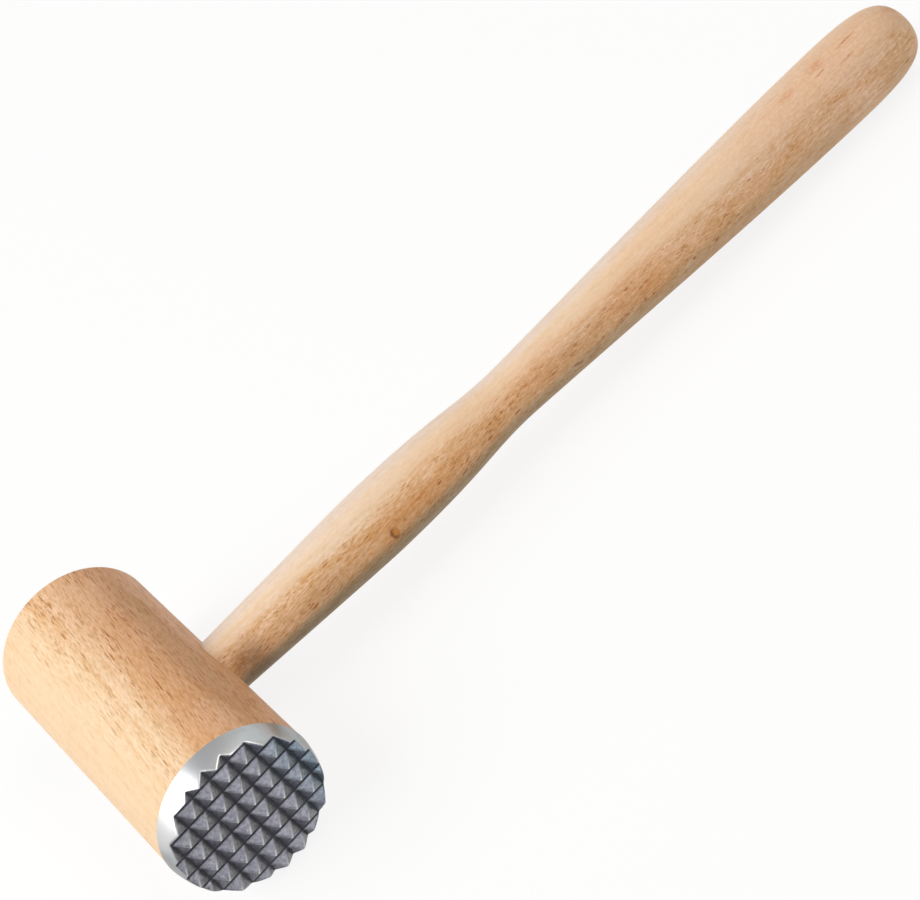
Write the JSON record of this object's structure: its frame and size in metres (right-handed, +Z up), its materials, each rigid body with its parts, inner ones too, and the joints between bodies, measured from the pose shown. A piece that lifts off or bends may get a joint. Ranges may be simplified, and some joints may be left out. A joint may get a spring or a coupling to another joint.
{
  "type": "meat mallet",
  "caption": "Turned beech meat mallet: round hammer head with a plain wooden face and a cast metal face of pyramid teeth, on a long waisted handle.",
  "frame": {"origin": "centre of the footprint's box, on the table that the mallet lies on", "axes": "+X from the head toward the grip along the handle, +Y from the toothed face toward the plain face along the head, +Z up"},
  "size_m": [0.3268, 0.1016, 0.0495],
  "materials": {
    "beech_head": "bare sanded beech, grain along the head",
    "beech_handle": "bare sanded beech, grain along the handle",
    "cast_aluminium": "bright cast aluminium, a little soft on its edges"
  },
  "bodies": {
    "root": {"head_block": "beech_head", "handle": "beech_handle", "toothed_cap": "cast_aluminium"}
  },
  "joints": []
}
